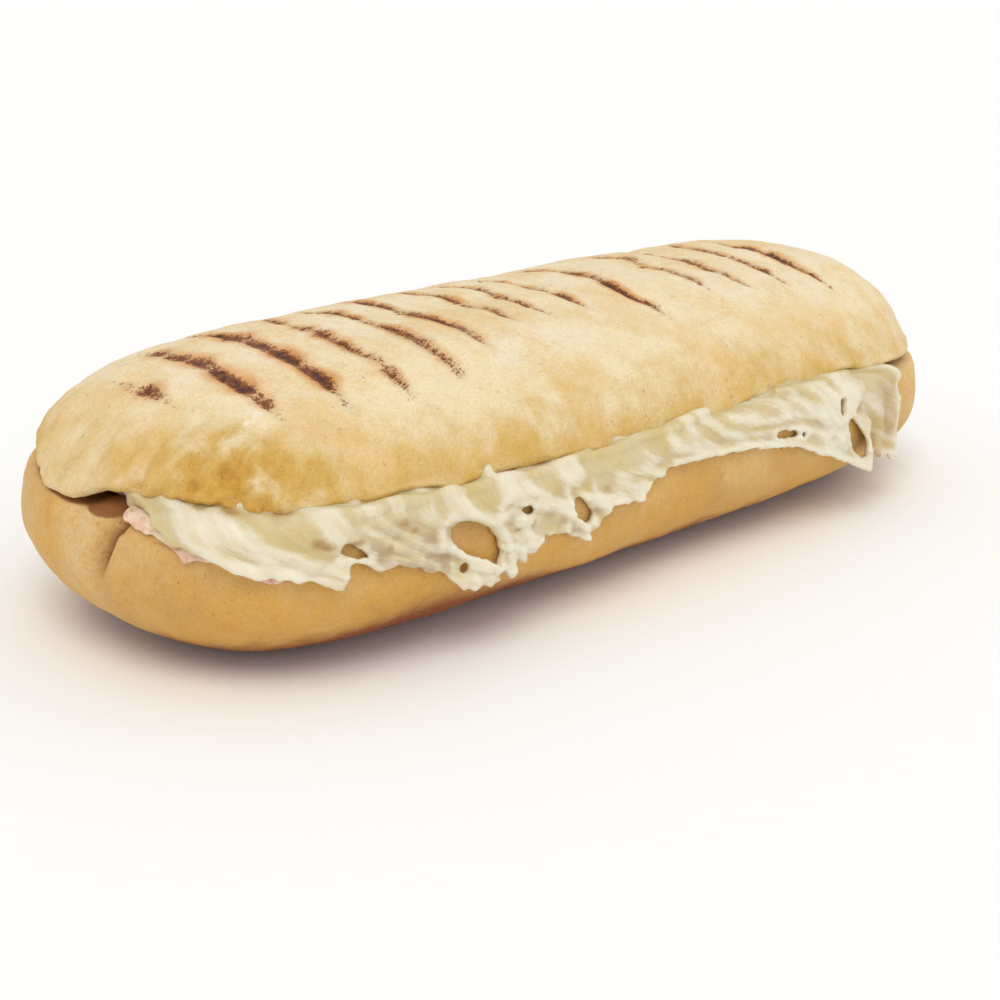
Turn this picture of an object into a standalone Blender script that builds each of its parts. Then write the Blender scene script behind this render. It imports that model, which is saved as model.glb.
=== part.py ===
"""A grilled panini: a long soft roll slit through at the side, with a sheet of ham and a
layer of melted cheese between its halves. The cheese hangs over the front in sheets,
strands and webs, and less over the back. Units are metres, +Z is up, the roll's length
lies along X and its front, with the most cheese, faces -Y. The origin is the middle of
the flat face that the roll stands on."""

import math

import bmesh
import bpy
from mathutils import Vector, noise

MM = 0.001

# Roll
HALF_LENGTH = 120 * MM
HALF_WIDTH = 47.5 * MM
HEIGHT = 56 * MM
GIRTH = 21.6 * MM  # height of the widest line
CAP_LEFT = 51.5 * MM  # length of the rounded left end
CAP_RIGHT = 47.5 * MM
CAP_POWER = 2.22  # 2 is a round end, more is squarer
TAPER = 0.03  # the left end is wider by this share, and the right end narrower
DOME_POWERS = (2.44, 2.2)
BASE_POWERS = (1.6, 1.9)
BASE_FLAT = 0.45  # share of the half width that stands flat

# Slit
SLIT_FLOOR = 32.4 * MM  # cut face of the bottom half
SLIT_GAP = 4.2 * MM
LIP_RADIUS = 1.6 * MM
LIP_ARC = LIP_RADIUS * math.pi / 2
CLEARANCE = 0.3 * MM

# Grill marks in mm: place along the roll, reach to the front and reach to the back
GRILL_MARKS = (
    (-101, 9, 14),
    (-90, 26, 20),
    (-75, 27, 23),
    (-61, 28, 25),
    (-47, 27, 26),
    (-34, 24, 27),
    (-19, 16, 26),
    (-8, 17, 22),
    (4, 18, 24),
    (19, 24, 25),
    (40, 20, 24),
    (54, 21, 22),
    (67, 23, 20),
    (78, 24, 14),
)
MARK_WIDTH = 4.2 * MM
MARK_DEPTH = 0.7 * MM

# Fillings. Places go round the rim of the roll in mm, 0 at the left tip, positive round
# the front and negative round the back. Each lobe is its place, half its width and how far
# it hangs past the lip. Between lobes the edge stays back inside the slit, and further back
# at the roll's two ends.
HAM_THICKNESS = 1.0 * MM
HAM_SETBACK = 4
HAM_LOBES = (
    (46, 24, 9),
    (203, 20, 6.5),
    (-136, 30, 3),
)
CHEESE_SETBACK = 3
END_SETBACK = 10
CHEESE_LOBES = (
    (27, 10, 2),
    (41, 11, 6.5),
    (55, 10, 9.5),
    (68, 7, 8.5),
    (79, 10, 13),
    (90, 10, 17.5),
    (102, 11, 19.5),
    (120, 14, 14),
    (138, 15, 8),
    (158, 15, 5),
    (178, 15, 6),
    (195, 12, 10),
    (208, 9, 6),
    (224, 16, 24),
    (238, 12, 8),
    (-60, 14, 3),
    (-88, 17, 7),
    (-120, 22, 5),
    (-150, 14, 7),
    (-186, 22, 3),
    (-214, 17, 6),
    (-236, 10, 1),
)
CHEESE_BULGE = 1.0 * MM  # swell where the melt leaves the slit
CHEESE_TAIL = 1.5 * MM  # thickness of the hanging sheet
CHEESE_TAPER = 7 * MM  # it thins to that over about this length past the lip

# Openings torn in the hanging sheet, in mm: place, drop, half width and half height
CHEESE_HOLES = (
    (91, 7, 5.6, 4.9),
    (62, 3.4, 3.0, 1.2),
    (188, 5.2, 4.0, 1.3),
)

# Strands: thickness, then the points they pass through as place, drop and stand-off, in mm
CHEESE_STRANDS = (
    (2.0, ((57, 4, 3.0), (58.5, 8, 2.8), (59.5, 13, 2.4))),
    (2.8, ((88, 12, 1.8), (96, 15, 2.6), (104, 21, 2.8))),
    (3.4, ((113, 5, 2.2), (111, 13, 2.4), (105, 22, 2.8))),
    (4.6, ((178, 4, 2.4), (191, 8, 2.6), (205, 14, 3.2), (216, 21, 4.0), (222, 26, 4.6))),
)

# Grain of each mesh: faces along, across and down the side
TOP_GRAIN = (30, 8, 10)
BOTTOM_GRAIN = (26, 6, 12)
CHEESE_GRAIN = (50, 6, 16)
HAM_GRAIN = (24, 4, 10)
CORNER_TURN = math.radians(38)  # where a mesh's corner edges meet the rim
INSET = 10 * MM  # the flat faces are gridded from this far inside the lip
FILLING_INSET = 13 * MM
SHEET_END = 0.8 * MM  # length of a sheet's rounded edge
LIP_EASE = 0.6 * MM

# Unevenness
SEED = 5
BEND = 1.3 * MM  # how far the soft roll departs from a regular shape
BEND_SCALE = 50 * MM
SLIT_WAVE = 0.7 * MM
SLIT_WAVE_LENGTH = 125 * MM


def signed_power(value, power):
    return math.copysign(abs(value) ** power, value)


def plan_point(rho, turn):
    """Place in plan at share rho of the way out, in the direction turn. The middle of the
    roll is straight and each end is a cap."""
    along, across = math.cos(turn), math.sin(turn)
    cap = CAP_LEFT if along < 0 else CAP_RIGHT
    ease = 3 * along * min(rho, 1)
    core = (HALF_LENGTH - cap) * ease / (1 + abs(ease) ** 6) ** (1 / 6)
    x = core + cap * rho * signed_power(along, 2 / CAP_POWER)
    y = HALF_WIDTH * rho * signed_power(across, 2 / CAP_POWER)
    return x, y * (1 - TAPER * x / HALF_LENGTH)


def plan_inverse(x, y):
    """(share out, turn) of a point in plan, by closing in on it."""
    rho = math.hypot(x / HALF_LENGTH, y / HALF_WIDTH)
    turn = math.atan2(y * HALF_LENGTH, x * HALF_WIDTH)
    step = 1e-5
    for _ in range(30):
        px, py = plan_point(rho, turn)
        ax, ay = plan_point(rho + step, turn)
        bx, by = plan_point(rho, turn + step)
        a, b = (ax - px) / step, (bx - px) / step
        c, d = (ay - py) / step, (by - py) / step
        area = a * d - b * c
        if abs(area) < 1e-10:
            break
        dx, dy = x - px, y - py
        rho += 0.7 * (d * dx - b * dy) / area
        turn += 0.7 * (a * dy - c * dx) / area
        rho = min(max(rho, 0.001), 1.2)
    return rho, turn


def dome_height(rho):
    out, up = DOME_POWERS
    return GIRTH + (HEIGHT - GIRTH) * max(0, 1 - rho**out) ** (1 / up)


def dome_rho(height):
    out, up = DOME_POWERS
    return (1 - ((height - GIRTH) / (HEIGHT - GIRTH)) ** up) ** (1 / out)


def base_height(rho):
    out, up = BASE_POWERS
    past_flat = max(0, (rho - BASE_FLAT) / (1 - BASE_FLAT))
    return GIRTH - GIRTH * max(0, 1 - past_flat**out) ** (1 / up)


def read_table(table, key, key_column, value_column):
    """Straight-line reading of a table whose key column rises."""
    low, high = 0, len(table) - 1
    if key <= table[low][key_column]:
        return table[low][value_column]
    if key >= table[high][key_column]:
        return table[high][value_column]
    while high - low > 1:
        middle = (low + high) // 2
        if table[middle][key_column] <= key:
            low = middle
        else:
            high = middle
    a, b = table[low], table[high]
    share = (key - a[key_column]) / (b[key_column] - a[key_column])
    return a[value_column] + share * (b[value_column] - a[value_column])


def rim_table(steps=720):
    """Length of rim walked from the left tip, with the turn reached."""
    table = []
    length = 0
    last = Vector(plan_point(1, -math.pi))
    for i in range(steps + 1):
        turn = -math.pi + math.pi * i / steps
        here = Vector(plan_point(1, turn))
        length += (here - last).length
        last = here
        table.append((length / MM, turn))
    return table


RIM = rim_table()


def rim_place(turn):
    turn = (turn + math.pi) % (2 * math.pi) - math.pi
    if turn <= 0:
        return read_table(RIM, turn, 1, 0)
    return -read_table(RIM, -turn, 1, 0)


def rim_turn(place):
    return math.copysign(read_table(RIM, abs(place), 0, 1), -place)


def guide_line():
    """Section of the bottom half that a filling lies on: out along the cut face, round the
    lip, down the side to the girth and then straight down. Each entry is the length walked,
    the point (out, up) and the normal."""
    wall_top = SLIT_FLOOR - LIP_RADIUS
    flat_end = dome_rho(wall_top) * HALF_WIDTH - LIP_RADIUS
    points = [(0, SLIT_FLOOR, 0, 1), (flat_end, SLIT_FLOOR, 0, 1)]
    for i in range(1, 7):
        a = math.radians(15 * i)
        out = flat_end + LIP_RADIUS * math.sin(a)
        up = wall_top + LIP_RADIUS * math.cos(a)
        points.append((out, up, math.sin(a), math.cos(a)))
    for i in range(1, 9):
        up = wall_top + (GIRTH - wall_top) * i / 8
        points.append((dome_rho(up) * HALF_WIDTH, up, 1, 0))
    points.append((HALF_WIDTH, -GIRTH, 1, 0))
    length = 0
    last = points[0]
    line = []
    for point in points:
        length += math.dist(point[:2], last[:2])
        last = point
        line.append((length, *point))
    return line, flat_end + LIP_ARC


GUIDE, LIP_LENGTH = guide_line()


def guide_point(length, stand_off):
    """(share out, height) of a point over the guide line."""
    out, up, normal_out, normal_up = (read_table(GUIDE, length, 0, i) for i in range(1, 5))
    size = math.hypot(normal_out, normal_up)
    out += stand_off * normal_out / size
    up += stand_off * normal_up / size
    return out / HALF_WIDTH, up


def side_point(place, drop, stand_off):
    """Point over the side of the bottom half, in mm from the lip and off the crust."""
    rho, up = guide_point(LIP_LENGTH + drop * MM, stand_off * MM)
    return Vector((*plan_point(rho, rim_turn(place)), up))


def settle(point):
    """Soft, uneven bend of the whole sandwich. It moves neighbours alike, so that their
    gaps stay open, and leaves the base flat."""
    x, y, z = point
    lift = min(1, max(0, (z - 3 * MM) / (15 * MM)))
    lift = lift * lift * (3 - 2 * lift)
    above_slit = min(1, max(0, (z - SLIT_FLOOR - SLIT_GAP - 3 * MM) / (12 * MM)))
    lump = noise.noise_vector(Vector((x, y, 0)) / BEND_SCALE) * BEND
    wave = SLIT_WAVE * math.sin(2 * math.pi * x / SLIT_WAVE_LENGTH + 0.5)
    wave *= 1 - above_slit
    return Vector((x + lump.x * lift, y + lump.y * lift, z + lump.z * above_slit + wave * lift))


def dome_surface(x, y):
    """Point on the finished dome over a place in plan."""
    return settle((x, y, dome_height(plan_inverse(x, y)[0])))


def box_grid(grain):
    """Cube from -1 to 1 with its faces cut into a grid of that many faces each way."""
    mesh = bmesh.new()
    bmesh.ops.create_cube(mesh, size=2)
    for axis, count in enumerate(grain):
        along = []
        for edge in mesh.edges:
            if abs(edge.verts[0].co[axis] - edge.verts[1].co[axis]) > 1:
                along.append(edge)
        bmesh.ops.subdivide_edges(mesh, edges=along, cuts=count - 1, use_grid_fill=True)
    return mesh


COLUMN_ENDS = (plan_point(1, math.pi - CORNER_TURN)[0], plan_point(1, CORNER_TURN)[0])


def column_turn(share):
    """Direction in plan of a column on the back side, spaced evenly in x."""
    wanted = COLUMN_ENDS[0] + (COLUMN_ENDS[1] - COLUMN_ENDS[0]) * share
    low, high = CORNER_TURN, math.pi - CORNER_TURN
    for _ in range(30):
        middle = (low + high) / 2
        if plan_point(1, middle)[0] > wanted:
            low = middle
        else:
            high = middle
    return low


def box_turn(px, py):
    """Direction in plan of a point on the upright sides of the box."""
    if abs(px) > 0.9999:
        turn = py * CORNER_TURN
        return turn if px > 0 else math.pi - turn
    return math.copysign(column_turn((px + 1) / 2), py)


def patch_point(px, py, level, section):
    """Place in plan of a point on the top or bottom of the box, filled in from its rim."""

    def rim(u, v):
        turn = box_turn(u, v)
        return Vector(plan_point(section(level, turn)[0], turn))

    u, v = (px + 1) / 2, (py + 1) / 2
    sides = rim(px, -1) * (1 - v) + rim(px, 1) * v + rim(-1, py) * (1 - u) + rim(1, py) * u
    front = rim(-1, -1) * (1 - u) + rim(1, -1) * u
    back = rim(-1, 1) * (1 - u) + rim(1, 1) * u
    return sides - front * (1 - v) - back * v


def wrapped_box(name, grain, section, cover):
    """Object made from a box grid. The section gives (share out, height) on the sides for
    a level from 1 to -1 and a turn, and the cover gives the height of the top and bottom."""
    mesh = box_grid(grain)
    for vertex in mesh.verts:
        px, py, level = vertex.co
        if max(abs(px), abs(py)) > 0.9999:
            turn = box_turn(px, py)
            rho, up = section(level, turn)
            place = plan_point(rho, turn)
        else:
            place = patch_point(px, py, level, section)
            up = cover(*place, level)
        vertex.co = settle((*place, up))
    bmesh.ops.recalc_face_normals(mesh, faces=mesh.faces)
    data = bpy.data.meshes.new(name)
    mesh.to_mesh(data)
    mesh.free()
    data.shade_smooth()
    data.set_sharp_from_angle(angle=math.radians(50))
    return bpy.data.objects.new(name, data)


def top_section(level, turn):
    """Side of the dome, rounded lip and the rim of the cut face under it."""
    cut = SLIT_FLOOR + SLIT_GAP
    lip_rho = dome_rho(cut + LIP_RADIUS)
    lip_share = LIP_RADIUS / HALF_WIDTH
    lip_end = 0.6
    if level >= 0:
        rho = lip_rho * math.cos(level * math.radians(42)) ** 0.9
        return rho, dome_height(rho)
    if level > -lip_end:
        a = -level / lip_end * math.pi / 2
        return lip_rho - lip_share * (1 - math.cos(a)), cut + LIP_RADIUS * (1 - math.sin(a))
    inward = (-level - lip_end) / (1 - lip_end) * INSET / HALF_WIDTH
    return lip_rho - lip_share - inward, cut


def top_cover(x, y, level):
    if level < 0:
        return SLIT_FLOOR + SLIT_GAP
    return dome_height(plan_inverse(x, y)[0])


def bottom_section(level, turn):
    """Rim of the cut face, rounded lip, side, and underside as far as the flat base."""
    lip_rho = dome_rho(SLIT_FLOOR - LIP_RADIUS)
    lip_share = LIP_RADIUS / HALF_WIDTH
    lip_start, lip_end, girth = 2 / 3, 1 / 6, -1 / 6
    if level > lip_start:
        inward = (level - lip_start) / (1 - lip_start) * INSET / HALF_WIDTH
        return lip_rho - lip_share - inward, SLIT_FLOOR
    if level > lip_end:
        a = (level - lip_end) / (lip_start - lip_end) * math.pi / 2
        up = SLIT_FLOOR - LIP_RADIUS * (1 - math.sin(a))
        return lip_rho - lip_share * (1 - math.cos(a)), up
    if level > girth:
        share = (level - girth) / (lip_end - girth)
        up = GIRTH + (SLIT_FLOOR - LIP_RADIUS - GIRTH) * share
        return dome_rho(up), up
    down = (girth - level) / (girth + 1)
    rho = 1 - (1 - BASE_FLAT) * down**1.7
    return rho, base_height(rho)


def bottom_cover(x, y, level):
    return SLIT_FLOOR if level > 0 else 0


def edge_drop(lobes, setback, turn):
    """How far past the lip a filling's edge reaches, in metres."""
    place = rim_place(turn)
    near_end = min(1, max(0, (abs(math.cos(turn)) - 0.82) / 0.15))
    rest = -setback - (END_SETBACK - setback) * near_end
    drop = rest
    for middle, half_width, hang in lobes:
        away = abs(place - middle) / half_width
        if away < 1:
            drop = max(drop, rest + (hang - rest) * (1 - away**2) ** 1.3)
    return drop * MM


def sheet_stations(edge, count):
    """Lengths over the guide line at which a sheet has its rows, from inside the slit to
    its edge. The lip is followed closely, what hangs is shared out, and rows past the edge
    are gathered just inside it."""
    hang = max(edge, 4 * MM)
    rows = [-FILLING_INSET, -LIP_ARC - 1.7 * MM, -LIP_ARC, -LIP_ARC / 2, 0]
    free = count - len(rows)
    for i in range(1, free):
        rows.append((hang - SHEET_END) * i / (free - 1))
    rows.append(hang)
    stations = []
    for i, row in enumerate(rows):
        stations.append(LIP_LENGTH + min(row, edge - (count - 1 - i) * SHEET_END / 5))
    return stations


def sheet_section(level, turn, edge, rows, faces):
    """Section of a filling. The faces give the stand-off of its lower and upper face."""
    stations = sheet_stations(edge(turn), rows + 1)
    row = (1 - abs(level)) * rows
    index = min(int(row + 1e-6), rows - 1)
    length = stations[index] + (stations[index + 1] - stations[index]) * (row - index)
    under, over = faces(length, turn)
    if abs(level) < 1e-6:
        return guide_point(length, (under + over) / 2)
    return guide_point(length, over if level > 0 else under)


def ham_edge(turn):
    return edge_drop(HAM_LOBES, HAM_SETBACK, turn)


def lip_ease(length):
    """Extra stand-off at the lip, where straight facets would cut its corner."""
    return LIP_EASE * math.exp(-(((length - LIP_LENGTH + LIP_ARC / 2) / LIP_ARC) ** 2))


def ham_faces(length, turn):
    under = CLEARANCE + lip_ease(length)
    return under, under + HAM_THICKNESS


def ham_section(level, turn):
    return sheet_section(level, turn, ham_edge, HAM_GRAIN[2] // 2, ham_faces)


def ham_cover(x, y, level):
    return SLIT_FLOOR + ham_faces(0, 0)[level > 0]


def cheese_edge(turn):
    return edge_drop(CHEESE_LOBES, CHEESE_SETBACK, turn)


def cheese_faces(length, turn):
    """The cheese lies over the ham, and comes down to the crust past the ham's edge."""
    over_ham = 2 * CLEARANCE + HAM_THICKNESS
    past_ham = (length - LIP_LENGTH - ham_edge(turn) - 0.4 * MM) / (4 * MM)
    past_ham = min(1, max(0, past_ham))
    under = over_ham + (CLEARANCE - over_ham) * past_ham + lip_ease(length)
    past_lip = length - LIP_LENGTH
    fall = math.exp(-max(0, past_lip + 1 * MM) / CHEESE_TAPER)
    tail = under + CHEESE_TAIL
    over = tail + (SLIT_GAP - CLEARANCE - tail) * fall
    bulge = CHEESE_BULGE * math.exp(-(((past_lip + 0.5 * MM) / (2 * MM)) ** 2))
    return under, over + bulge


def cheese_section(level, turn):
    return sheet_section(level, turn, cheese_edge, CHEESE_GRAIN[2] // 2, cheese_faces)


def cheese_cover(x, y, level):
    return SLIT_FLOOR + (SLIT_GAP - CLEARANCE if level > 0 else 2 * CLEARANCE + HAM_THICKNESS)


def new_collection(name):
    collection = bpy.data.collections.new(name)
    bpy.context.scene.collection.children.link(collection)
    return collection


def paint(obj, name, colour, roughness):
    """Plain material: the colour is linear."""
    material = bpy.data.materials.new(name)
    material.use_nodes = True
    shader = material.node_tree.nodes["Principled BSDF"]
    shader.inputs["Base Color"].default_value = (*colour, 1)
    shader.inputs["Roughness"].default_value = roughness
    shader.inputs["Metallic"].default_value = 0
    obj.data.materials.append(material)


def add_helper(name, data, collection):
    obj = bpy.data.objects.new(name, data)
    collection.objects.link(obj)
    obj.hide_render = True
    obj.display_type = "WIRE"
    return obj


def tube(name, points, radii, collection):
    """Round rod through the points, as a closed mesh."""
    curve = bpy.data.curves.new(name, "CURVE")
    curve.dimensions = "3D"
    curve.bevel_depth = 1
    curve.bevel_resolution = 2
    curve.use_fill_caps = True
    spline = curve.splines.new("POLY")
    spline.points.add(len(points) - 1)
    for target, point, radius in zip(spline.points, points, radii):
        target.co = (*point, 1)
        target.radius = radius
    guide = add_helper(name + "_guide", curve, collection)
    graph = bpy.context.evaluated_depsgraph_get()
    data = bpy.data.meshes.new_from_object(guide.evaluated_get(graph))
    bpy.data.objects.remove(guide)
    mesh = bmesh.new()
    mesh.from_mesh(data)
    bmesh.ops.remove_doubles(mesh, verts=mesh.verts, dist=0.001 * MM)
    bmesh.ops.recalc_face_normals(mesh, faces=mesh.faces)
    mesh.to_mesh(data)
    mesh.free()
    return add_helper(name, data, collection)


def grill_bars(collection):
    """One bent rod for each grill mark. It dips into the dome by the mark's depth."""
    radius = (MARK_WIDTH**2 / 4 + MARK_DEPTH**2) / (2 * MARK_DEPTH)
    steps = 8
    for number, (place, front, back) in enumerate(GRILL_MARKS, 1):
        points = []
        radii = []
        for i in range(steps + 1):
            share = i / steps
            x, y = place * MM, (-front + (front + back) * share) * MM
            foot = dome_surface(x, y)
            along = dome_surface(x, y + MM) - dome_surface(x, y - MM)
            normal = Vector((1, 0, 0)).cross(along).normalized()
            size = min(1, 0.8 + 2.5 * min(share, 1 - share))
            radii.append(radius * size)
            points.append(foot + normal * (radius - MARK_DEPTH) * size)
        tube(f"grill_bar_{number:02d}", points, radii, collection)


def hole_cutters(collection):
    """Flattened balls that pierce the hanging sheet where the melt has torn open."""
    for number, (place, drop, half_width, half_height) in enumerate(CHEESE_HOLES, 1):
        centre = side_point(place, drop, 1.1)
        outward = (side_point(place, drop, 6) - centre).normalized() * 6 * MM
        along = (side_point(place + 2, drop, 1.1) - centre).normalized() * half_width * MM
        up = Vector((0, 0, half_height * MM))
        mesh = bmesh.new()
        bmesh.ops.create_uvsphere(mesh, u_segments=12, v_segments=8, radius=1)
        for vertex in mesh.verts:
            x, y, z = vertex.co
            vertex.co = settle(centre + along * x + up * y + outward * z)
        bmesh.ops.recalc_face_normals(mesh, faces=mesh.faces)
        name = f"cheese_hole_{number}"
        data = bpy.data.meshes.new(name)
        mesh.to_mesh(data)
        mesh.free()
        add_helper(name, data, collection)


def strand_tubes(collection):
    """Pulled strands of cheese. Each runs smoothly through its points and thins out."""
    steps = 3
    for number, (thickness, path) in enumerate(CHEESE_STRANDS, 1):
        points = []
        for start, end in zip(path, path[1:]):
            for i in range(steps):
                mix = [a + (b - a) * i / steps for a, b in zip(start, end)]
                points.append(settle(side_point(*mix)))
        points.append(settle(side_point(*path[-1])))
        last = len(points) - 1
        radii = [thickness / 2 * MM * (1 - 0.4 * i / last) for i in range(last + 1)]
        tube(f"cheese_strand_{number}", points, radii, collection)


def grown_copy(obj, collection):
    """The piece made larger by nearly the clearance, to cut what lies against it."""
    data = obj.data.copy()
    mesh = bmesh.new()
    mesh.from_mesh(data)
    moved = [vertex.co + vertex.normal * CLEARANCE * 0.7 for vertex in mesh.verts]
    for vertex, place in zip(mesh.verts, moved):
        vertex.co = place
    mesh.to_mesh(data)
    mesh.free()
    add_helper(obj.name + "_grown", data, collection)


def boolean(obj, operation, collection):
    modifier = obj.modifiers.new(operation.lower(), "BOOLEAN")
    modifier.operation = operation
    modifier.operand_type = "COLLECTION"
    modifier.collection = collection
    modifier.solver = "EXACT"


def build():
    for obj in list(bpy.data.objects):
        bpy.data.objects.remove(obj, do_unlink=True)
    noise.seed_set(SEED)
    panini = new_collection("panini")
    bars = new_collection("grill_bars")
    strands = new_collection("cheese_strands")
    under_ham = new_collection("ham_cutters")
    under_cheese = new_collection("cheese_cutters")

    bread_top = wrapped_box("bread_top", TOP_GRAIN, top_section, top_cover)
    paint(bread_top, "crust_top", (0.78, 0.55, 0.27), 0.8)
    bread_bottom = wrapped_box("bread_bottom", BOTTOM_GRAIN, bottom_section, bottom_cover)
    paint(bread_bottom, "crust_bottom", (0.72, 0.44, 0.16), 0.75)
    ham = wrapped_box("ham", HAM_GRAIN, ham_section, ham_cover)
    paint(ham, "ham_pink", (0.70, 0.27, 0.22), 0.45)
    cheese = wrapped_box("cheese", CHEESE_GRAIN, cheese_section, cheese_cover)
    paint(cheese, "melted_cheese", (0.82, 0.74, 0.52), 0.4)
    for obj in (bread_top, bread_bottom, ham, cheese):
        panini.objects.link(obj)

    grill_bars(bars)
    boolean(bread_top, "DIFFERENCE", bars)
    grown_copy(bread_bottom, under_ham)
    boolean(ham, "DIFFERENCE", under_ham)
    strand_tubes(strands)
    boolean(cheese, "UNION", strands)
    hole_cutters(under_cheese)
    grown_copy(bread_bottom, under_cheese)
    grown_copy(ham, under_cheese)
    boolean(cheese, "DIFFERENCE", under_cheese)


build()
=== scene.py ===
import math

import bmesh
import bpy
import numpy as np
from mathutils import Matrix, Vector, kdtree, noise


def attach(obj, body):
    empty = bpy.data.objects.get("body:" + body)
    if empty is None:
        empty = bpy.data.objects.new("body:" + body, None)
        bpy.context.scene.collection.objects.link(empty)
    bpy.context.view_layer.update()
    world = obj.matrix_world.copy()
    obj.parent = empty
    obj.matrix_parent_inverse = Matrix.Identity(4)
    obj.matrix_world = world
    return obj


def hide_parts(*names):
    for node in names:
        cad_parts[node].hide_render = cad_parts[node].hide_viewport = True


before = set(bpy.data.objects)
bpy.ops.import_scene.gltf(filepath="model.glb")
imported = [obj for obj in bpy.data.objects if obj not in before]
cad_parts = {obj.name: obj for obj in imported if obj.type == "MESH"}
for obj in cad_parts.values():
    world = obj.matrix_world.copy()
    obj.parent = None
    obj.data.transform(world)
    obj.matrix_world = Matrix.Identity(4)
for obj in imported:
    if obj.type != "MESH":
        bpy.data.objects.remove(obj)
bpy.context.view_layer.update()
mm = 0.001
print("frame loaded:", sorted(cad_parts))

# the roll's own shape, in millimetres, the same one that the solids have
loaf = {
    "halfLength": 120.0,
    "halfWidth": 47.5,
    "height": 56.0,
    "girth": 21.6,
    "capLeft": 51.5,
    "capRight": 47.5,
    "capPower": 2.22,
    "taper": 0.03,
    "domePowers": (2.44, 2.2),
    "basePowers": (1.6, 1.9),
    "baseFlat": 0.45,
    "slitFloor": 32.4,
    "slitGap": 4.2,
    "lipRadius": 1.6,
    "bend": 1.3,
    "bendScale": 50.0,
    "slitWave": 0.7,
    "slitWaveLength": 125.0,
    "seed": 5,
}
noise.seed_set(loaf["seed"])


def planPoint(rho, turn):
    along, across = np.cos(turn), np.sin(turn)
    cap = np.where(along < 0, loaf["capLeft"], loaf["capRight"])
    power = 2 / loaf["capPower"]
    ease = 3 * along * np.minimum(rho, 1)
    core = (loaf["halfLength"] - cap) * ease / (1 + np.abs(ease) ** 6) ** (1 / 6)
    x = core + cap * rho * np.sign(along) * np.abs(along) ** power
    y = loaf["halfWidth"] * rho * np.sign(across) * np.abs(across) ** power
    return x, y * (1 - loaf["taper"] * x / loaf["halfLength"])


def domeHeight(rho):
    out, up = loaf["domePowers"]
    rise = loaf["height"] - loaf["girth"]
    return loaf["girth"] + rise * np.maximum(0, 1 - rho**out) ** (1 / up)


def domeRho(height):
    out, up = loaf["domePowers"]
    rise = loaf["height"] - loaf["girth"]
    share = np.clip((height - loaf["girth"]) / rise, 0, 1)
    return (1 - share**up) ** (1 / out)


def baseHeight(rho):
    out, up = loaf["basePowers"]
    pastFlat = np.maximum(0, (rho - loaf["baseFlat"]) / (1 - loaf["baseFlat"]))
    return loaf["girth"] * (1 - np.maximum(0, 1 - pastFlat**out) ** (1 / up))


def ramp(low, high, value):
    share = np.clip((value - low) / (high - low), 0, 1)
    return share * share * (3 - 2 * share)


def hump(value, middle, width):
    return np.exp(-(((value - middle) / width) ** 2))


def settle(points):
    # the same soft bend that the solids have
    x, y, z = points.T
    top = loaf["slitFloor"] + loaf["slitGap"] + 3
    lift = ramp(3, 18, z)
    aboveSlit = np.clip((z - top) / 12, 0, 1)
    spots = zip(x / loaf["bendScale"], y / loaf["bendScale"])
    lump = loaf["bend"] * np.array([noise.noise_vector((along, across, 0)) for along, across in spots])
    wave = loaf["slitWave"] * np.sin(2 * math.pi * x / loaf["slitWaveLength"] + 0.5) * (1 - aboveSlit)
    moved = [x + lump[:, 0] * lift, y + lump[:, 1] * lift, z + lump[:, 2] * aboveSlit + wave * lift]
    return np.stack(moved, 1)


latticeSize = 32
lattice = np.random.default_rng(loaf["seed"]).uniform(-1, 1, (latticeSize,) * 3)


# smooth noise about zero at points in mm, with lumps of this size
def noiseAt(points, size, octaves, shift=0.0):
    total = np.zeros(len(points))
    for octave in range(octaves):
        spots = points / size * 2**octave + shift + 17.3 * octave
        corner = np.floor(spots)
        part = spots - corner
        part = part * part * (3 - 2 * part)
        corner = corner.astype(int)
        for step in np.ndindex(2, 2, 2):
            weight = np.prod(np.where(step, part, 1 - part), axis=1)
            i, j, k = ((corner + step) % latticeSize).T
            total += weight * lattice[i, j, k] * 0.5**octave
    return total


# the same over two values
def flatNoise(along, down, size, octaves, shift=0.0):
    return noiseAt(np.stack([along, down, np.zeros(len(along))], 1), size, octaves, shift)


# place round the rim, in mm from the left tip, positive round the front
rimTurns = np.linspace(-math.pi, 0, 1441)
rimPoints = np.stack(planPoint(1.0, rimTurns), 1)
rimSteps = np.linalg.norm(np.diff(rimPoints, axis=0), axis=1)
rimPlaces = np.concatenate([[0], np.cumsum(rimSteps)])
rimLength = rimPlaces[-1]


def rimPlace(turn):
    turn = (turn + math.pi) % (2 * math.pi) - math.pi
    return np.where(turn <= 0, 1, -1) * np.interp(-np.abs(turn), rimTurns, rimPlaces)


def rimTurn(place):
    return -np.sign(place) * np.abs(np.interp(np.abs(place), rimPlaces, rimTurns))


def readVertices(mesh):
    points = np.empty(len(mesh.vertices) * 3)
    mesh.vertices.foreach_get("co", points)
    return points.reshape(-1, 3) / mm


def readNormals(mesh):
    normals = np.empty(len(mesh.vertices) * 3)
    mesh.vertex_normals.foreach_get("vector", normals)
    return normals.reshape(-1, 3)


def writeVertices(mesh, points):
    mesh.vertices.foreach_set("co", np.ascontiguousarray(points * mm).ravel())
    mesh.update()


def addField(mesh, name, values):
    field = mesh.attributes.new(name, "FLOAT", "POINT")
    field.data.foreach_set("value", np.ascontiguousarray(values, dtype=np.float32))


def addObject(name, data):
    made = bpy.data.objects.new(name, data)
    bpy.context.scene.collection.objects.link(made)
    return made


def addPiece(name, mesh, material):
    piece = addObject(name, mesh)
    mesh.materials.append(material)
    mesh.shade_smooth()
    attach(piece, "root")
    return piece


def finishMesh(name, shape):
    mesh = bpy.data.meshes.new(name)
    shape.to_mesh(mesh)
    shape.free()
    return mesh


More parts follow.
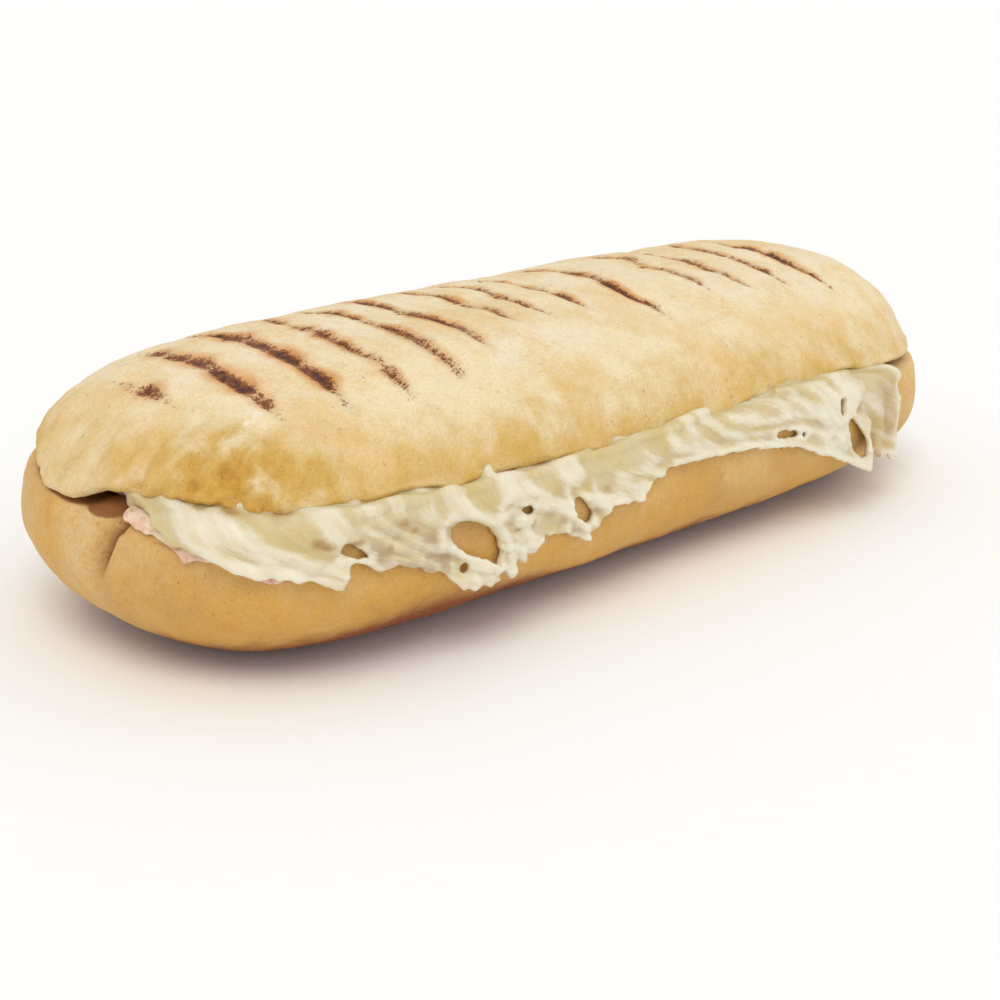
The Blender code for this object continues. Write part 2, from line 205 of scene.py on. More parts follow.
# a ball, rolled up from a grid and welded at its seam and poles: faster than a UV sphere
def rollBall(name, columns, rings):
    ball = bmesh.new()
    bmesh.ops.create_grid(ball, x_segments=columns, y_segments=rings, size=1)
    for vert in ball.verts:
        around, down = (vert.co.x + 1) * math.pi, (1 - vert.co.y) * math.pi / 2
        vert.co = (math.cos(around) * math.sin(down), math.sin(around) * math.sin(down), math.cos(down))
    bmesh.ops.remove_doubles(ball, verts=ball.verts, dist=1e-6)
    bmesh.ops.recalc_face_normals(ball, faces=ball.faces)
    return finishMesh(name, ball)


# columns and rings of each rolled mesh
meshSizes = {
    "breadTop": (640, 124),
    "breadBottom": (560, 116),
    "cheeseLayer": (360, 40),
    "hamLayer": (300, 30),
}


# a ball whose rings are laid along a section, from the top middle to the bottom middle
def wrapBall(name, section):
    mesh = rollBall(name, *meshSizes[name])
    spots = readVertices(mesh) * mm
    turn = np.arctan2(spots[:, 1], spots[:, 0])
    share = 0.5 - np.arcsin(np.clip(spots[:, 2], -1, 1)) / math.pi
    walked = section[:, 2]
    rho = np.interp(share, walked, section[:, 0])
    up = np.interp(share, walked, section[:, 1])
    x, y = planPoint(rho, turn)
    writeVertices(mesh, settle(np.stack([x, y, up], 1)))
    return mesh, turn, rho


# section rows are share of the way out, height and share of the rings spent so far
def spreadSection(stretches):
    rows = []
    spent = 0
    for rho, up, share in stretches:
        length = np.concatenate([[0], np.cumsum(np.hypot(np.diff(rho * loaf["halfWidth"]), np.diff(up)))])
        walked = spent + share * length / length[-1]
        rows.append(np.stack([rho, up, walked], 1))
        spent += share
    section = np.concatenate(rows)
    section[:, 2] /= spent
    return section


def topSection():
    cut = loaf["slitFloor"] + loaf["slitGap"]
    radius = loaf["lipRadius"]
    lip = domeRho(cut + radius)
    dome = lip * np.sin(np.linspace(0, math.pi / 2, 400))
    bend = np.linspace(0, math.pi / 2, 24)
    lipRho = lip - radius / loaf["halfWidth"] * (1 - np.cos(bend))
    lipUp = cut + radius * (1 - np.sin(bend))
    under = np.linspace(lipRho[-1], 0, 60)
    return spreadSection([
        (dome, domeHeight(dome), 0.84),
        (lipRho, lipUp, 0.05),
        (under, np.full(60, cut), 0.11),
    ])


def bottomSection():
    floor = loaf["slitFloor"]
    radius = loaf["lipRadius"]
    wall = np.linspace(floor - radius, loaf["girth"], 40)
    lip = domeRho(wall[0])
    bend = np.linspace(0, math.pi / 2, 24)
    lipRho = lip - radius / loaf["halfWidth"] * (1 - np.sin(bend))
    lipUp = floor - radius * (1 - np.cos(bend))
    face = np.linspace(0, lipRho[0], 60)
    side = 1 - (1 - loaf["baseFlat"]) * np.linspace(0, 1, 300) ** 1.8
    foot = np.linspace(loaf["baseFlat"], 0, 20)
    return spreadSection([
        (face, np.full(60, floor), 0.14),
        (lipRho, lipUp, 0.06),
        (domeRho(wall), wall, 0.16),
        (side, baseHeight(side), 0.52),
        (foot, np.zeros(20), 0.12),
    ])


# materials are noises on Object coordinates, in mm, mixed by fields of the mesh
def newMaterial(name):
    material = bpy.data.materials.new(name)
    material.use_nodes = True
    tree = material.node_tree
    return material, tree, tree.nodes["Principled BSDF"]


def addNode(tree, kind, inputs, **settings):
    made = tree.nodes.new(kind)
    for key, value in settings.items():
        setattr(made, key, value)
    for socket, value in inputs.items():
        if isinstance(value, bpy.types.NodeSocket):
            tree.links.new(value, made.inputs[socket])
        else:
            made.inputs[socket].default_value = value
    return made


def millimetres(tree, stretch=(1, 1, 1)):
    where = addNode(tree, "ShaderNodeTexCoord", {})
    scale = [1000 * s for s in stretch]
    return addNode(tree, "ShaderNodeMapping", {0: where.outputs["Object"], "Scale": scale}).outputs[0]


def grain(tree, where, size, detail, roughness=0.55, warp=0.0):
    inputs = {"Vector": where, "Scale": 1 / size, "Detail": detail}
    inputs |= {"Roughness": roughness, "Distortion": warp}
    return addNode(tree, "ShaderNodeTexNoise", inputs).outputs[0]


def between(tree, value, low, high, outLow=0.0, outHigh=1.0):
    inputs = {"Value": value, "From Min": low, "From Max": high, "To Min": outLow, "To Max": outHigh}
    return addNode(tree, "ShaderNodeMapRange", inputs, interpolation_type="SMOOTHSTEP").outputs[0]


def sums(tree, operation, first, second):
    return addNode(tree, "ShaderNodeMath", {0: first, 1: second}, operation=operation).outputs[0]


def plus(tree, first, second):
    return sums(tree, "ADD", first, second)


def minus(tree, first, second):
    return sums(tree, "SUBTRACT", first, second)


def times(tree, first, second):
    return sums(tree, "MULTIPLY", first, second)


# a noise's swing about its middle
def swing(tree, value, weight):
    return times(tree, minus(tree, value, 0.5), weight)


def blend(tree, share, first, second, kind="MIX"):
    inputs = {0: share, 6: first, 7: second}
    return addNode(tree, "ShaderNodeMix", inputs, data_type="RGBA", blend_type=kind).outputs[2]


# a second colour over the first where a value passes from low to high
def layOver(tree, colour, value, low, high, most, second):
    return blend(tree, between(tree, value, low, high, 0, most), colour, second)


def field(tree, name):
    return addNode(tree, "ShaderNodeAttribute", {}, attribute_name=name).outputs["Fac"]


def addBump(tree, shader, strength, distance, height):
    inputs = {"Strength": strength, "Distance": distance * mm, "Height": height}
    bump = addNode(tree, "ShaderNodeBump", inputs)
    tree.links.new(bump.outputs[0], shader.inputs["Normal"])


# screen colour, 0 to 255, as the linear colour that a shader takes
def tint(red, green, blue):
    linear = []
    for level in (red, green, blue):
        level /= 255
        linear.append(level / 12.92 if level < 0.04045 else ((level + 0.055) / 1.055) ** 2.4)
    return (*linear, 1)


# crust colours: toast also paints shade in creases and near the base, crumb is the cut face darkened as
# painted shade, flour also paints highlights on the fold's lobes, and deep also paints shade between them
crustLooks = {
    "top": {
        "pale": tint(241, 222, 182),
        "warm": tint(235, 203, 146),
        "goldAndShade": tint(214, 174, 88),
        "deepGoldAndShade": tint(213, 164, 70),
        "flourAndHighlight": tint(247, 236, 214),
        "toastAndShade": tint(222, 160, 94),
        "char": tint(132, 74, 38),
        "black": tint(66, 42, 38),
        "shadedCrumb": tint(150, 98, 52),
    },
    "bottom": {
        "pale": tint(222, 183, 118),
        "warm": tint(206, 158, 90),
        "goldAndShade": tint(222, 168, 76),
        "deepGoldAndShade": tint(196, 138, 56),
        "flourAndHighlight": tint(240, 214, 162),
        "toastAndShade": tint(146, 78, 34),
        "char": tint(96, 46, 26),
        "black": tint(46, 28, 30),
        "shadedCrumb": tint(146, 92, 46),
    },
}


def crustMaterial(name, looks):
    material, tree, shader = newMaterial(name)
    where = millimetres(tree)
    broad = grain(tree, where, 18, 4, 0.6)
    middle = grain(tree, where, 6.5, 4, 0.6, 0.4)
    upright = grain(tree, millimetres(tree, (1, 1, 0.3)), 3.2, 3, 0.6, 0.3)
    fine = grain(tree, where, 1.4, 4, 0.65)
    dust = grain(tree, where, 0.55, 3, 0.7)
    colour = blend(tree, between(tree, broad, 0.38, 0.64), looks["pale"], looks["warm"])
    colour = layOver(tree, colour, middle, 0.42, 0.75, 0.45, looks["warm"])
    # the gold field also holds painted shade between the fold's lobes, shown by the deep colour
    goldenAndShaded = field(tree, "goldAndShade")
    mottle = plus(tree, times(tree, middle, 0.9), times(tree, upright, 0.7))
    goldAndShade = plus(tree, goldenAndShaded, minus(tree, mottle, 0.8))
    colour = layOver(tree, colour, goldAndShade, -0.05, 1.2, 0.95, looks["goldAndShade"])
    colour = layOver(tree, colour, goldAndShade, 0.9, 1.7, 0.8, looks["deepGoldAndShade"])
    # flour colour, which also lays painted highlights on the fold's lobes
    flouryAndHighlit = plus(tree, field(tree, "flourAndHighlight"), swing(tree, fine, 1.6))
    colour = layOver(tree, colour, flouryAndHighlit, 0.2, 1.1, 0.75, looks["flourAndHighlight"])
    # toast colour: browning round the grill marks, and painted shade in creases and low on the bottom half
    toastAndShade = plus(tree, field(tree, "toastAndShade"), swing(tree, middle, 0.5))
    colour = layOver(tree, colour, toastAndShade, 0.15, 0.95, 1, looks["toastAndShade"])
    # the cut crumb inside the slit is darkened to brown as painted shade
    colour = layOver(tree, colour, field(tree, "shadedCrumb"), 0.2, 0.9, 1, looks["shadedCrumb"])
    speck = swing(tree, dust, 1.9)
    blotch = swing(tree, fine, 1.7)
    char = plus(tree, field(tree, "char"), plus(tree, speck, blotch))
    colour = layOver(tree, colour, char, 0.25, 0.85, 1, looks["char"])
    colour = layOver(tree, colour, char, 0.85, 1.25, 0.9, looks["black"])
    pores = addNode(tree, "ShaderNodeTexVoronoi", {"Vector": where, "Scale": 1 / 2.4}).outputs["Distance"]
    poreMask = between(tree, grain(tree, where, 5, 2), 0.48, 0.64)
    pits = times(tree, between(tree, pores, 0.05, 0.26, 1, 0), poreMask)
    # fine noise varies the tone at random, and the pores are darkened as painted shade
    grainToneAndPitShade = minus(tree, between(tree, dust, 0.3, 0.7, 0.9, 1.05), times(tree, pits, 0.1))
    colour = blend(tree, 1.0, colour, grainToneAndPitShade, "MULTIPLY")
    tree.links.new(colour, shader.inputs["Base Color"])
    oily = times(tree, field(tree, "goldAndShade"), between(tree, fine, 0.5, 0.7))
    tree.links.new(between(tree, oily, 0.0, 0.6, 0.66, 0.36), shader.inputs["Roughness"])
    shader.inputs["Specular IOR Level"].default_value = 0.35
    shader.inputs["Subsurface Weight"].default_value = 0.12
    shader.inputs["Subsurface Radius"].default_value = (1.0, 0.55, 0.25)
    shader.inputs["Subsurface Scale"].default_value = 1.6 * mm
    relief = plus(tree, fine, times(tree, dust, 0.35))
    relief = plus(tree, relief, times(tree, middle, 1.3))
    relief = minus(tree, relief, times(tree, pits, 0.5))
    relief = plus(tree, relief, times(tree, times(tree, goldenAndShaded, upright), 1.6))
    addBump(tree, shader, 0.6, 0.75, relief)
    return material


# grill marks: place along the roll, front end, back end, half width, strength
marks = {
    "lines": (
        (-101, -13, 12, 1.9, 0.66),
        (-88.5, -26.5, 20, 3, 1),
        (-74.5, -29.5, 24, 2.4, 1),
        (-61, -31, 25, 1.9, 0.92),
        (-47, -30, 26, 2.1, 1),
        (-34.5, -26, 27, 2.1, 1),
        (-19, -18, 26, 1.6, 0.88),
        (-8, -18, 22, 1.8, 0.95),
        (3, -19, 24, 1.5, 0.88),
        (19.5, -25, 25, 2.1, 1),
        (41, -21, 24, 1.7, 0.9),
        (54, -22, 22, 1.8, 0.88),
        (67, -24, 20, 2, 0.98),
        (78, -26.5, 14, 1.8, 0.95),
    ),
    "depth": 0.65,
    "wobble": 0.9,
    "haloWidth": 2.3,
}


def markField(x, y, widen):
    strength = np.zeros(len(x))
    for number, (place, front, back, halfWidth, heat) in enumerate(marks["lines"]):
        own = np.full(len(x), number * 7.3)
        drift = flatNoise(own, y / 7, 1, 1)
        patchy = flatNoise(own, y / 7, 0.5, 1, 40)
        ends = ramp(front - 5, front + 14, y) * (1 - ramp(back - 9, back + 3, y))
        width = halfWidth * (1 + 0.4 * drift) * widen * (0.3 + 0.6 * ends)
        across = np.abs(x - place - marks["wobble"] * drift)
        body = 1 - ramp(width * 0.2, width * 1.25, across)
        strength = np.maximum(strength, body * ends**0.6 * heat * (1 + 0.45 * patchy))
    return strength


# how far the top half's lip hangs past its cut, by place round the rim
lipHang = (
    (-300, 3.8), (-270, 1.8), (-240, 0.6), (-200, 1.6), (-150, 0.8), (-100, 1.7), (-50, 0.8), (-22, 2.4),
    (-9, 4.8), (2, 4.4), (6, 2.6), (10, 1.2), (15, 0.9), (20, 0.8), (27, 0.7), (34, 1.1), (43, 2.3),
    (50, 2), (56, 1.5), (64, 1.9), (70, 1.4), (76, 1.5), (81, 2.3), (90, 2.5), (98, 1.7), (106, 2),
    (120, 2.7), (135, 3), (144, 4.2), (150, 4.2), (156, 4.6), (161, 5.6), (168, 4.8), (174, 3),
    (180, 2.2), (186, 3), (191, 4.2), (198, 3.2), (206, 2.6), (213, 1.7), (220, 1.2), (228, 2.6),
    (236, 3.2), (250, 3.5), (300, 3.4),
)


def buildBreadTop():
    mesh, turn, rho = wrapBall("breadTop", topSection())
    points = readVertices(mesh)
    normals = readNormals(mesh)
    x, y, z = points.T
    cut = loaf["slitFloor"] + loaf["slitGap"]
    outside = ramp(cut + 0.2, cut + 2.2, z)
    place = rimPlace(turn)
    front = ramp(0.05, 0.4, -np.sin(turn))

    lumps = 0.55 * noiseAt(points, 19, 2) + 0.3 * noiseAt(points, 7, 2, 30)
    pits = -0.35 * ramp(0.42, 0.8, noiseAt(points, 3.2, 1, 60))
    skin = 0.07 * noiseAt(points, 1.8, 2, 90)
    char = markField(x, y, 1.0) * outside * ramp(40, 46, z)
    halo = markField(x, y, marks["haloWidth"]) * outside * ramp(38, 44, z)

    # puckers run down the side above the cheese
    low = 1 - ramp(37, 51, z)
    streaks = flatNoise(place / 4.2 + (z - 40) / 16, z / 15, 1, 3)
    pucker = 0.7 * streaks * low * (0.35 + 0.65 * front)

    # the lumpy fold over the cheese at the front left, and the crease beside it
    fold = hump(place, 37, 17) * hump(z, 41, 6.5)
    crease = hump(place, 17.5 + 0.2 * (z - 40), 1.4) * hump(z, 40, 5)
    folds = crease + 0.5 * hump(place, 159 + 0.5 * (z - 46), 0.9) * hump(z, 48, 5)
    lobes = noiseAt(points, 3.2, 3, 130)
    bulge = fold * (0.9 + 2.2 * lobes) - 1.3 * folds

    height = (lumps + pits + skin + pucker) * outside - marks["depth"] * np.clip(char, 0, 1) + bulge * outside
    rim = ramp(0.8, 0.9, rho)
    ragged = 0.45 * noiseAt(points, 6, 2, 170) * (1 - ramp(cut + 1, cut + 5, z)) * rim
    hang = np.interp(place, *np.array(lipHang).T) * rim * (1 - ramp(cut + 1.5, cut + 10, z))
    outX, outY = np.array(planPoint(rho * 1.02, turn)) - np.array(planPoint(rho, turn))
    outLength = np.maximum(np.hypot(outX, outY), 1e-6)
    points = points + normals * height[:, None]
    tip = hump(place, -2, 13) * rim * (1 - ramp(cut + 3, cut + 15, z))
    push = 0.36 * hang + 2 * tip
    points[:, 0] += push * outX / outLength
    points[:, 1] += push * outY / outLength
    points[:, 2] += ragged - hang
    writeVertices(mesh, points)

    band = 1 - ramp(38, 51, z)
    patch = np.clip(0.5 * hump(place, 92, 30) + 0.4 * hump(place, 176, 30), 0, 1) * front
    blotch = noiseAt(points, 7, 3, 240)
    band *= 1 - 0.45 * ramp(212, 240, np.abs(place))
    goldenAndShaded = band * (0.75 + 0.3 * patch) * (1 + 0.5 * blotch) + 0.25 * streaks * low
    # in the fold, the gold deepens between the lobes as painted shade
    goldenAndShaded += fold * (1 + 0.4 * blotch - 0.9 * lobes)
    addField(mesh, "goldAndShade", np.clip(goldenAndShaded, 0, 1.8))
    flaky = ramp(-0.2, 0.4, noiseAt(points, 2, 2, 260))
    flakes = hump(place, 35 + 1.2 * (z - 47), 2) * hump(z, 47.5, 2.4) * flaky
    flouryAndHighlit = ramp(44, 54, z) * 0.5 + 0.25 * noiseAt(points, 14, 2, 210) + 1.2 * flakes
    # lighter tops of the fold's lobes are painted highlights
    addField(mesh, "flourAndHighlight", flouryAndHighlit + 0.5 * fold * ramp(0.35, 0.9, lobes))
    # browning round the grill marks, with painted shade laid in the crease beside the fold
    addField(mesh, "toastAndShade", np.clip(halo * 0.75 + 0.25 * crease, 0, 1))
    addField(mesh, "char", np.clip(char, 0, 1.3))
    # the cut face under the top half's lip, darkened as painted shade
    addField(mesh, "shadedCrumb", 1 - ramp(cut - 0.4, cut + 0.8, z))
    piece = addPiece("breadTop", mesh, crustMaterial("topCrust", crustLooks["top"]))
    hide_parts("bread_top")


def bottomLumps(points):
    return 0.5 * noiseAt(points, 21, 2, 300) + 0.2 * noiseAt(points, 7, 2, 330)


def buildBreadBottom():
    mesh, turn, rho = wrapBall("breadBottom", bottomSection())
    points = readVertices(mesh)
    normals = readNormals(mesh)
    z = points[:, 2]
    floor = loaf["slitFloor"]
    place = rimPlace(turn)
    outside = 1 - ramp(floor - 2.4, floor - 0.3, z)
    offBase = ramp(0.4, 6, z)
    lumps = bottomLumps(points)
    skin = 0.05 * noiseAt(points, 1.8, 2, 360)
    creaseLine = 14.5 - (30 - z) * 0.42
    crease = -2.5 * hump(place, creaseLine, 1.6) * ramp(14, 25, z)
    besides = hump(place, creaseLine - 5, 3) + hump(place, creaseLine + 5.5, 3.5)
    shoulders = 0.7 * besides * ramp(12, 25, z)
    dent = -0.8 * hump(place, 4, 2.5) * ramp(18, 28, z)
    height = (lumps + skin) * outside * offBase + (crease + shoulders + dent) * ramp(0.6, 0.9, rho)
    points = points + normals * height[:, None]
    tips = hump(place, 0, 14) + hump(np.abs(place), rimLength, 16)
    points[:, 2] += 1.1 * tips * ramp(22, 30, z) * ramp(0.8, 0.9, rho)
    edge = domeRho(floor - loaf["lipRadius"])
    points[:, 2] -= 1.5 * ramp(edge - 0.13, edge, rho) * ramp(floor - 4, floor - 0.5, z)
    writeVertices(mesh, points)

    blotch = noiseAt(points, 9, 3, 420)
    lowSide = 1 - ramp(12, 27, z)
    goldAndShade = 0.35 + 0.3 * blotch + 0.35 * lowSide + 0.45 * hump(place, 66, 28) * lowSide
    goldAndShade -= 0.15 * ramp(20, 30, z)
    goldAndShade += 0.5 * hump(place, -5, 5) * ramp(14, 22, z) - 0.35 * hump(place, 6, 9)
    addField(mesh, "goldAndShade", np.clip(goldAndShade, 0, 1))
    # on the bottom half: paler higher up and towards both ends, varied at random
    pale = 0.55 * hump(place, 6, 9) * ramp(10, 18, z)
    flouryAndHighlit = 0.12 * noiseAt(points, 10, 2, 400) + 0.22 * ramp(12, 26, z) - 0.2 + pale
    addField(mesh, "flourAndHighlight", flouryAndHighlit + 0.5 * ramp(234, 248, np.abs(place)))
    # painted shade: the crust turns dark brown towards the base, where the roll sits on the floor
    shadowy = (1 - ramp(1, 12.5, z + 1.5 * blotch)) * 0.95
    # a browner spot at the left end, and a dark band low on the front that is partly baked edge, partly
    # painted shade
    patch = 0.3 * hump(place, -6, 3) * ramp(20, 26, z)
    patch += 0.95 * hump(place, 84, 26) * (1 - ramp(3, 23, z))
    # painted shade is laid along the crease as well
    brownedAndShaded = shadowy + patch + 0.8 * hump(place, creaseLine + 0.4, 1.5) * ramp(14, 25, z)
    addField(mesh, "toastAndShade", np.clip(brownedAndShaded, 0, 1))
    addField(mesh, "char", np.zeros(len(z)))
    # the bottom half's cut face, darkened as painted shade
    addField(mesh, "shadedCrumb", ramp(floor - 0.8, floor - 0.1, points[:, 2]))
    piece = addPiece("breadBottom", mesh, crustMaterial("bottomCrust", crustLooks["bottom"]))
    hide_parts("bread_bottom")


# spots on the side of the roll: place round the rim, drop below the bottom half's lip, stand-off
def sheetSpot(place, drop, off):
    radius = loaf["lipRadius"]
    wall = loaf["slitFloor"] - radius
    flat = domeRho(wall) * loaf["halfWidth"] - radius
    arc = radius * math.pi / 2
    bend = np.clip((drop + arc) / radius, 0, math.pi / 2)
    sunk = np.maximum(drop, 0)
    out = flat + np.minimum(drop + arc, 0) + (radius + off) * np.sin(bend)
    out += (domeRho(wall - sunk) - domeRho(wall)) * loaf["halfWidth"]
    up = wall + (radius + off) * np.cos(bend) - sunk
    x, y = planPoint(out / loaf["halfWidth"], rimTurn(place))
    return settle(np.stack([x, y, up], 1))


# the same on the smooth side past the slit, for strings that reach the top half
def wallSpot(place, drop, off):
    up = loaf["slitFloor"] - loaf["lipRadius"] - drop
    x, y = planPoint(domeRho(up) + off / loaf["halfWidth"], rimTurn(place))
    return settle(np.stack([x, y, up], 1))


def nearPath(place, drop, path):
    best = np.full(place.shape, 1e6)
    for (startPlace, startDrop), (endPlace, endDrop) in zip(path, path[1:]):
        run, fall = endPlace - startPlace, endDrop - startDrop
        share = ((place - startPlace) * run + (drop - startDrop) * fall) / (run * run + fall * fall)
        share = np.clip(share, 0, 1)
        best = np.minimum(best, np.hypot(place - startPlace - share * run, drop - startDrop - share * fall))
    return best


def insideCorners(place, drop, corners):
    inside = np.zeros(place.shape, dtype=bool)
    for (startPlace, startDrop), (endPlace, endDrop) in zip(corners, (*corners[1:], corners[0])):
        crosses = (startDrop > drop) != (endDrop > drop)
        at = startPlace + (drop - startDrop) * (endPlace - startPlace) / (endDrop - startDrop or 1e-9)
        inside ^= crosses & (place < at)
    return inside


